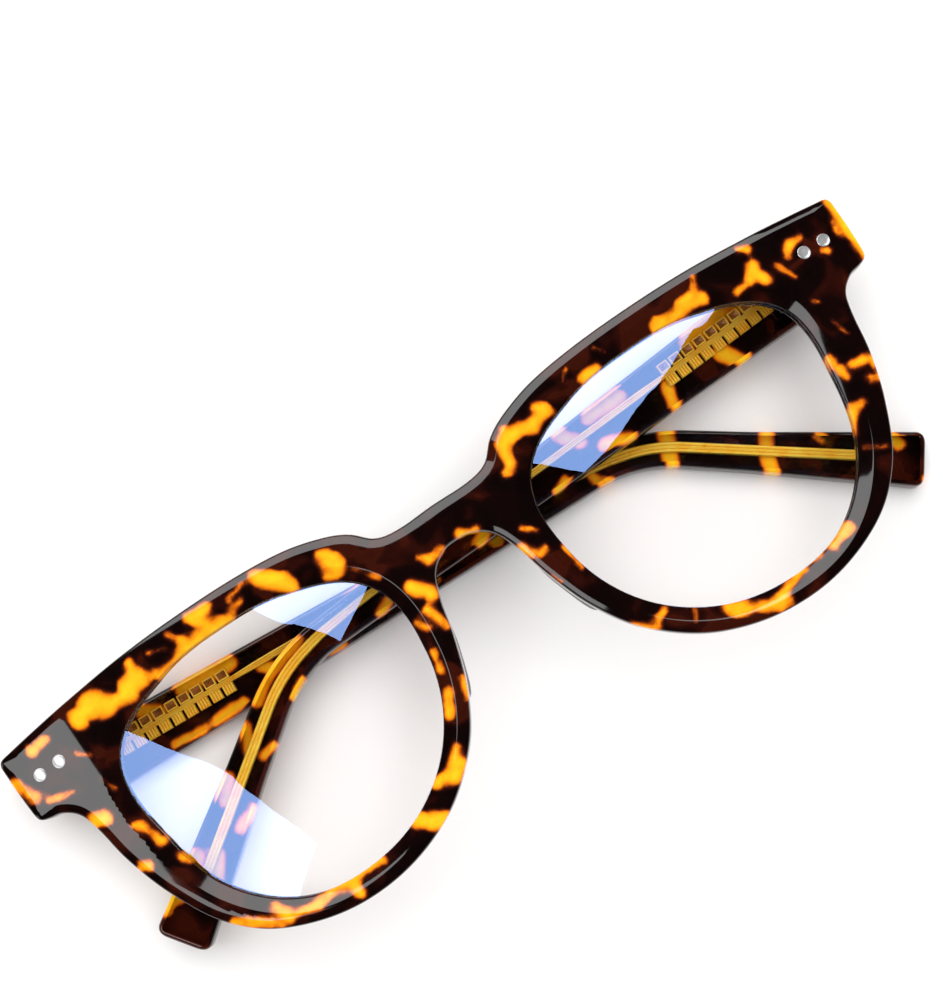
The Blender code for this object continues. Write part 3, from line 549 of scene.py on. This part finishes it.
def make_pad(hand, side):
    """A nose pad: an oval pebble that leans to the nose."""
    outline = smooth_loop(PAD_OUTLINE, 0.35)
    (top_x, top_y), (low_x, low_y) = PAD_SPINE
    rings = []
    for k in range(13):
        rise = math.sin(math.radians(7.2 * k))
        width = max(0.3, math.cos(math.radians(6.4 * k)) ** 0.5)
        ring = []
        for x, y in outline:
            along = min(1.0, max(0.0, (y - top_y) / (low_y - top_y)))
            mid_x, mid_y = top_x + (low_x - top_x) * along, top_y + (low_y - top_y) * along
            lean = PAD_LEAN * rise ** 2
            ring.append((side * (mid_x + (x - mid_x) * width - lean), mid_y + (y - mid_y) * width))
        rings.append(on_front(ring, FRONT_THICKNESS - PAD_SINK + PAD_HEIGHT * rise))
    made = piece(f"nose_pad_{hand}_acetate", lofted(rings), FRONT_PLACE, "front", [ACETATE],
                 60)
    pattern(made, FRONT_PLACE, FRONT_AMBER, lambda point: (point.x * 0.7, point.y))
    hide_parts(f"nose_pad_{hand}")


def disc_rings(profile, centre, lift, slope):
    """Rings of a turned piece that stands on the front's slant."""
    count = 48
    rings = []
    for radius, height in profile:
        ring = []
        for k in range(count):
            angle = 2 * math.pi * k / count
            x, y = centre[0] + radius * math.cos(angle), centre[1] + radius * math.sin(angle)
            ring.append((x, y, lift + height - slope * (x - centre[0])))
        rings.append(ring)
    return rings


def make_rivet(hand, side, where, x):
    """A polished rivet head with a rounded rim around a slightly dished face."""
    rings = disc_rings(RIVET_PROFILE, (side * x, RIVET_Y), -wrap(x), side * ENDPIECE_SLOPE)
    made = piece(f"rivet_{hand}_{where}", lofted(rings), FRONT_PLACE, "front", [STEEL], 45)
    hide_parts(f"front_rivet_{hand}_{where}")


# The temples ------------------------------------------------------------------------

def centre_line(along, rise=0.0):
    """A place on the temple's side view: straight, then a bend, then straight to the tip."""
    start = BEND_AT - BEND_RADIUS * math.tan(BEND_ANGLE / 2)
    turned = min(max((along - start) / BEND_RADIUS, 0.0), BEND_ANGLE)
    rest = max(0.0, along - start - BEND_RADIUS * BEND_ANGLE)
    x = min(along, start) + BEND_RADIUS * math.sin(turned) + rest * math.cos(BEND_ANGLE)
    y = -BEND_RADIUS * (1 - math.cos(turned)) - rest * math.sin(BEND_ANGLE)
    return x + rise * math.sin(turned), y + rise * math.cos(turned)


def half_height(along):
    for (low, first), (high, second) in zip(TEMPLE_HEIGHTS, TEMPLE_HEIGHTS[1:]):
        if along <= high:
            return (first + (second - first) * (along - low) / (high - low)) / 2
    return TEMPLE_HEIGHTS[-1][1] / 2


def temple_point(hand, along, rise, depth):
    """A place on the temple, from the distances along and across it and below its inner face."""
    side, lean = SIDES[hand], math.radians(TEMPLE_SLOPE[hand])
    x, y = centre_line(along, rise)
    if along > BUTT_DEPTH:
        x, y = x * math.cos(lean) + y * math.sin(lean), y * math.cos(lean) - x * math.sin(lean)
    run_back = min(along, TEMPLE_BEVEL) + BUTT_DRAFT * max(0.0, along - TEMPLE_BEVEL)
    butt = BUTT_REACH - BUTT_SLANT * depth - run_back
    return (side * min(AXIS_TO_TEMPLE - x, butt), BUTT_Y + y, -AXIS_TO_TEMPLE - depth)


def temple_layer(hand, top, bottom, top_bevel, bottom_bevel, walled=False):
    """One layer of the laminate: cross sections from the butt to the rounded tip.

    In a clear layer the walls take the second look, the dark acetate, as a painted reflection
    of the dark layer in the clear sides, and the face that lies on the dark layer is left out.
    """
    butt_places = [0.0, 0.25, 0.6, 1.1]
    places = butt_places + [
        butt_places[-1] + RING_PITCH * k for k in range(1, int(TEMPLE_LENGTH / RING_PITCH))]
    places = [at for at in places if at < TEMPLE_LENGTH - TIP_RADIUS]
    places += [TEMPLE_LENGTH - TIP_RADIUS * (1 - math.sin(math.radians(a))) for a in range(0, 91, 9)]
    cells = 14
    rings = []
    for at in places:
        beyond = max(0.0, at - (TEMPLE_LENGTH - TIP_RADIUS))
        corner = TIP_RADIUS - math.sqrt(max(0.0, TIP_RADIUS ** 2 - beyond ** 2))
        half = half_height(at) - corner
        near_end = max(0.0, TEMPLE_BEVEL - at, at - (TEMPLE_LENGTH - TEMPLE_BEVEL))
        drop = TEMPLE_BEVEL - math.sqrt(max(0.0, TEMPLE_BEVEL ** 2 - near_end ** 2))
        ring = []
        for bevel, level, sign, heading in ((top_bevel, top, 1, 1), (bottom_bevel, bottom, -1, -1)):
            edge = level + sign * (drop if bevel else 0.0)
            profile = [(bevel * (1 - math.sin(math.radians(a))), bevel * (1 - math.cos(math.radians(a))))
                       for a in (90, 67, 45, 22, 0)] if bevel else [(0.0, 0.0)]
            first = [(-(half - inset), edge + sign * fall) for inset, fall in profile]
            flat = half - bevel
            across = [(-flat + 2 * flat * k / cells, edge) for k in range(1, cells)]
            last = [(half - inset, edge + sign * fall) for inset, fall in profile[::-1]]
            row = first + across + last
            ring += row[::heading]
        rings.append([temple_point(hand, at, rise, depth) for rise, depth in ring])
    mesh = lofted(rings)
    if walled:
        hidden = []
        for face in mesh.faces:
            depths = [-AXIS_TO_TEMPLE - vert.co.z for vert in face.verts]
            if min(depths) > bottom - 1e-4:
                hidden.append(face)
            elif max(depths) > top + 1e-4:
                # the clear layer's walls: dark acetate painted on as a reflection of the dark layer
                face.material_index = 1
        bmesh.ops.delete(mesh, geom=hidden, context="FACES")
    return mesh


def temple_plane(hand):
    """From a place around the hinge axis to the distances along and across the temple."""
    side, lean = SIDES[hand], math.radians(TEMPLE_SLOPE[hand])
    start = BEND_AT - BEND_RADIUS * math.tan(BEND_ANGLE / 2)

    def flatten(point):
        x, y = AXIS_TO_TEMPLE - side * point.x, point.y - BUTT_Y
        x, y = x * math.cos(lean) - y * math.sin(lean), y * math.cos(lean) + x * math.sin(lean)
        if x <= start:
            return x, y
        turned = math.atan2(x - start, y + BEND_RADIUS)
        if turned <= BEND_ANGLE:
            return start + BEND_RADIUS * turned, math.hypot(x - start, y + BEND_RADIUS) - BEND_RADIUS
        bx, by = centre_line(start + BEND_RADIUS * BEND_ANGLE)
        dx, dy = x - bx, y - by
        along = dx * math.cos(BEND_ANGLE) - dy * math.sin(BEND_ANGLE)
        across = dx * math.sin(BEND_ANGLE) + dy * math.cos(BEND_ANGLE)
        return start + BEND_RADIUS * BEND_ANGLE + along, across

    return flatten


def make_temple(hand):
    body = f"{hand}_temple"
    place = TEMPLE_PLACE[hand]
    mesh = temple_layer(hand, CLEAR_DEPTH + LAYER_GAP, TEMPLE_THICKNESS, 0.0, TEMPLE_BEVEL)
    made = piece(f"temple_{hand}_tortoise", mesh, place, body, [LAMINATE_WITH_PAINTED_LIGHT])
    pattern(made, place, TEMPLE_AMBER[hand], temple_plane(hand))
    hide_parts(f"temple_{hand}")
    mesh = temple_layer(hand, 0.0, CLEAR_DEPTH, TEMPLE_BEVEL, 0.0, True)
    made = piece(f"temple_{hand}_clear", mesh, place, body, [CLEAR, LAMINATE_WITH_PAINTED_LIGHT])
    pattern(made, place, TEMPLE_AMBER[hand], temple_plane(hand))


def core_rise(at):
    """How far the core runs above the temple's centre line."""
    return CORE_RISE if at < CORE_FADE else max(CORE_TIP_RISE, CORE_RISE - CORE_FALL * (at - CORE_FADE))


def comb_block(mesh, hand, start):
    """A block of the core's lower row: a comb of ridges."""
    ridge = BLOCK_LENGTH / COMB_RIDGES
    for k in range(COMB_RIDGES):
        a = start + BLOCK_LENGTH * k / COMB_RIDGES
        b = start + BLOCK_LENGTH * (k + 1) / COMB_RIDGES
        corners = (
            (a, 0.34), (a + ridge * 0.35, 0.0), (a + ridge * 0.65, 0.0), (b, 0.34), (b, 1.0), (a, 1.0))
        rings = [[temple_point(hand, at, rise, CORE_DEPTH + sink) for at, sink in corners]
                 for rise in COMB_SPAN]
        lofted(rings, mesh)


def frame_block(mesh, hand, start):
    """A block of the core's upper row: a frame around a sunk pyramid."""
    end = start + BLOCK_LENGTH
    low, high = FRAME_SPAN
    corners = ((start, low), (end, low), (end, high), (start, high))
    middle_at, middle_rise = (start + end) / 2, (low + high) / 2
    rings = []
    for inset, sink in ((0.0, 1.0), (0.0, 0.06), (0.06, 0.0), (0.2, 0.0)):
        rings.append([
            temple_point(hand, at + math.copysign(inset, middle_at - at),
                         rise + math.copysign(inset, middle_rise - rise), CORE_DEPTH + sink)
            for at, rise in corners])
    made = [ring_of(mesh, ring) for ring in rings]
    for first, second in zip(made, made[1:]):
        bridge(mesh, first, second)
    mesh.faces.new(made[0])
    tip = mesh.verts.new(temple_point(hand, middle_at, middle_rise, CORE_DEPTH + 0.4))
    for i in range(4):
        # the sunk pyramid's faces take the darker gold, painted shade in the hollow
        mesh.faces.new((made[-1][i], made[-1][(i + 1) % 4], tip)).material_index = 1


def make_core(hand):
    mesh = bmesh.new()
    blocks_end = BLOCKS_START + BLOCK_COUNT * BLOCK_PITCH
    for k in range(BLOCK_COUNT):
        start = BLOCKS_START + k * BLOCK_PITCH
        frame_block(mesh, hand, start)
        comb_block(mesh, hand, start)
    places = [CORE_START, CORE_START + 0.3] + [2.0 + 0.8 * k for k in range(1, 165)]
    places += [CORE_END - 0.3, CORE_END]
    rings = []
    for at in places:
        share = min(1.0, max(0.0, (at - blocks_end) / WIRE_LEAD))
        late = min(1.0, max(0.0, (at - WIRE_SWELL[0]) / WIRE_SWELL[1]))
        half = BAR_HALF_WIDTH + WIRE_GROWTH * share + TIP_GROWTH * late
        if at in (places[0], places[-1]):
            half *= 0.7
        rings.append([
            temple_point(hand, at, core_rise(at) + half * across, CORE_DEPTH + sink)
            for across, sink in WIRE_SECTION])
    lofted(rings, mesh)
    made = piece(f"temple_core_{hand}_gold", mesh, TEMPLE_PLACE[hand], f"{hand}_temple",
                 [GOLD, GOLD_PAINTED_SHADE], 25)
    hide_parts(f"temple_core_{hand}")


# The CAD's own metal parts -----------------------------------------------------------

def finish_steel():
    """Steel and softened edges for the hinge parts and hidden rivets."""
    for node in frame["nodes"].values():
        if node.hide_render:
            continue
        node.data.materials.clear()
        node.data.materials.append(STEEL)
        node.data.shade_smooth()
        bevel = node.modifiers.new("edge", "BEVEL")
        bevel.width = 0.05 * MM
        bevel.segments = 2
        bevel.limit_method = "ANGLE"
        bevel.angle_limit = math.radians(35)
        bevel.harden_normals = True


# The setting -------------------------------------------------------------------------

def make_floor():
    mesh = bmesh.new()
    bmesh.ops.create_grid(mesh, x_segments=2, y_segments=2, size=6.0)
    data = bpy.data.meshes.new("floor")
    mesh.to_mesh(data)
    mesh.free()
    floor = bpy.data.objects.new("floor", data)
    bpy.context.scene.collection.objects.link(floor)
    made, tree, shader = new_material("paper_white")
    shade = noise_of(tree, place_of(tree), 4.0, 2.0)
    tree.links.new(ramp(tree, shade, ((0.3, (0.90, 0.895, 0.89)), (0.7, (0.92, 0.915, 0.91)))),
                   shader.inputs["Base Color"])
    shader.inputs["Roughness"].default_value = 0.9
    shader.inputs["Specular IOR Level"].default_value = 0.0
    data.materials.append(made)


def make_camera():
    eye = Vector((0.30, -21.30, 282.42))
    ahead = Vector((0.0166, 0.1251, -0.992)).normalized()
    up = Vector((0.5641, 0.818, 0.1126))
    right = ahead.cross(up).normalized()
    up = right.cross(ahead)
    turn = Matrix((right, up, -ahead)).transposed().to_4x4()
    place = FRONT_PLACE @ Matrix.Translation(eye) @ turn @ Matrix.Scale(1 / MM, 4)
    data = bpy.data.cameras.new("camera")
    data.lens = 72.0
    data.sensor_width = 36.0
    data.clip_start = 0.01
    data.clip_end = 20.0
    camera = bpy.data.objects.new("camera", data)
    camera.matrix_world = place
    bpy.context.scene.collection.objects.link(camera)
    bpy.context.scene.camera = camera
    return camera


def softbox(name, camera, corner, along, across, size, distance, radiance):
    """A rectangular light, given by one corner and two directions.

    They are in a plane across the camera's axis, at the distance from the object.
    """
    turn = camera.matrix_world.to_3x3().normalized()
    first = Vector((*along, 0.0)).normalized()
    second = Vector((*across, 0.0)).normalized()
    centre = Vector((*corner, 1.0)) + first * size[0] / 2 + second * size[1] / 2
    data = bpy.data.lights.new(name, "AREA")
    data.shape = "RECTANGLE"
    data.size, data.size_y = size[0] * distance, size[1] * distance
    data.energy = radiance * math.pi * data.size * data.size_y
    lamp = bpy.data.objects.new(name, data)
    facing = Vector((0.0, 0.0, 1.0))
    axes = Matrix((first, facing.cross(first), facing)).transposed()
    lamp.matrix_world = (Matrix.Translation(middle + turn @ (centre * distance))
                         @ (turn @ axes).to_4x4())
    bpy.context.scene.collection.objects.link(lamp)
    return lamp


def make_light():
    world = bpy.data.worlds.new("studio")
    bpy.context.scene.world = world
    world.use_nodes = True
    back = world.node_tree.nodes["Background"]
    back.inputs["Color"].default_value = (1.0, 0.99, 0.985, 1.0)
    back.inputs["Strength"].default_value = 0.74
    world.cycles_visibility.glossy = False
    camera = bpy.context.scene.camera
    mirrored = [
        softbox("softbox_upper", camera, (-0.18, 0.36), (0.43, 0.90), (-0.93, 0.37), (1.7, 1.9), 1.0, 4.0),
        softbox("softbox_left", camera, (-0.26, -0.36), (-0.88, 0.47), (-0.47, -0.88), (1.3, 0.42),
                1.0, 4.0)]
    for lamp in mirrored:
        lamp.visible_diffuse = False
    key = softbox("key", camera, (-0.9, -0.05), (1.0, 0.0), (0.0, 1.0), (1.5, 1.3), 1.2, 2.35)
    key.visible_glossy = False
    bpy.context.scene.view_settings.view_transform = "Standard"


make_front()
for hand, side in SIDES.items():
    make_lens(hand, side)
    make_pad(hand, side)
    for where, x in (("inner", 65.4), ("outer", 68.9)):
        make_rivet(hand, side, where, x)
    make_temple(hand)
    make_core(hand)
finish_steel()
make_floor()
make_camera()
make_light()
